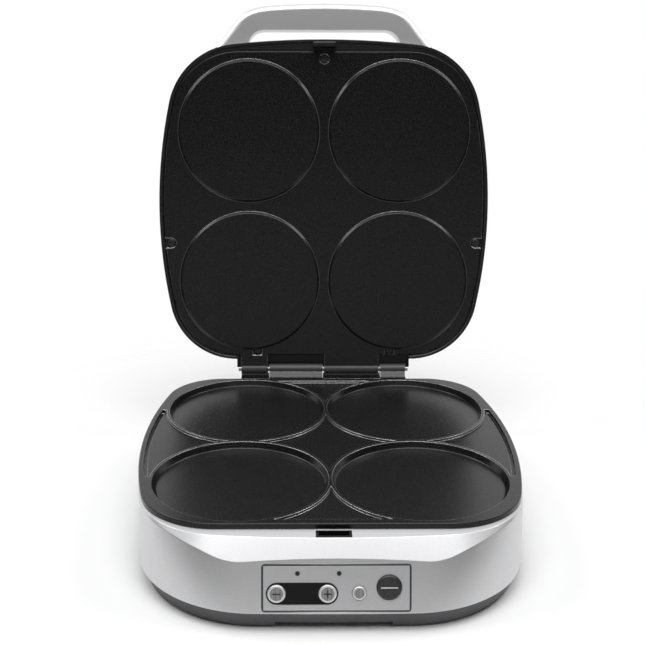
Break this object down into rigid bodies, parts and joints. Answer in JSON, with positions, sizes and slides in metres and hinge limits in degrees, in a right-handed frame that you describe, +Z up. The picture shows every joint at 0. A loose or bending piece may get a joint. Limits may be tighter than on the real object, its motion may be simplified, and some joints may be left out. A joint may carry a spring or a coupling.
{
  "type": "pancake maker",
  "caption": "Clamshell electric pancake maker with round wells, raised pressing discs, hinged lid with loop handle, latch and push-button panel.",
  "frame": {"origin": "on the table surface, under the middle of the wells", "axes": "+X to the user's right, +Y away from the user towards the hinge, +Z up"},
  "size_m": [0.265, 0.3631, 0.3496],
  "materials": {
    "silver_shell": "satin",
    "dark_plastic": "matte",
    "black_plastic": "matte",
    "nonstick_plate": "non-stick coated",
    "steel": "plain",
    "bright_sheet": "bright",
    "black_gloss": "gloss",
    "clear_silver": "clear cap over silver",
    "dark_gloss": "gloss",
    "smoke_lens": "gloss",
    "board": "lacquered",
    "rubber": "matte"
  },
  "bodies": {
    "base": {"base_housing": "silver_shell", "bottom_tray": "dark_plastic", "foot_pads": "rubber", "lower_plate": "nonstick_plate", "lower_heating_element": "steel", "lower_thermostat": "steel", "lower_thermal_fuse": "steel", "heat_shield": "bright_sheet", "tray_screws": "steel", "hinge_pin": "steel", "control_fascia": "silver_shell", "display_window": "black_gloss", "display_module": "black_gloss", "power_lamp_lens": "smoke_lens", "ready_lamp_lens": "smoke_lens", "control_board": "board", "power_board": "board", "catch_insert": "black_plastic", "cord_gland": "rubber"},
    "lid": {"lid_shell": "silver_shell", "handle": "silver_shell", "lid_liner": "black_plastic", "upper_plate": "nonstick_plate", "upper_heating_element": "steel", "upper_thermostat": "steel", "upper_thermal_fuse": "steel", "latch_tab": "black_plastic", "upper_plate_screws": "steel"},
    "minus_button": {"minus_button": "clear_silver"},
    "plus_button": {"plus_button": "clear_silver"},
    "extra_button": {"extra_button": "clear_silver"},
    "start_button": {"start_button": "dark_gloss"}
  },
  "joints": [
    {"name": "lid_hinge", "type": "hinge", "parent": "base", "child": "lid", "pos_m": [0, 0.1328, 0.063], "axis": [1, 0, 0], "range_deg": [0, 101]},
    {"name": "minus_button_press", "type": "slide", "parent": "base", "child": "minus_button", "axis": [0, 0.9563, -0.2924], "range_m": [0, 0.001], "stiffness_N_per_m": 900},
    {"name": "plus_button_press", "type": "slide", "parent": "base", "child": "plus_button", "axis": [0, 0.9563, -0.2924], "range_m": [0, 0.001], "stiffness_N_per_m": 900},
    {"name": "extra_button_press", "type": "slide", "parent": "base", "child": "extra_button", "axis": [0, 0.9563, -0.2924], "range_m": [0, 0.001], "stiffness_N_per_m": 900},
    {"name": "start_button_press", "type": "slide", "parent": "base", "child": "start_button", "axis": [0, 0.9563, -0.2924], "range_m": [0, 0.001], "stiffness_N_per_m": 900}
  ]
}
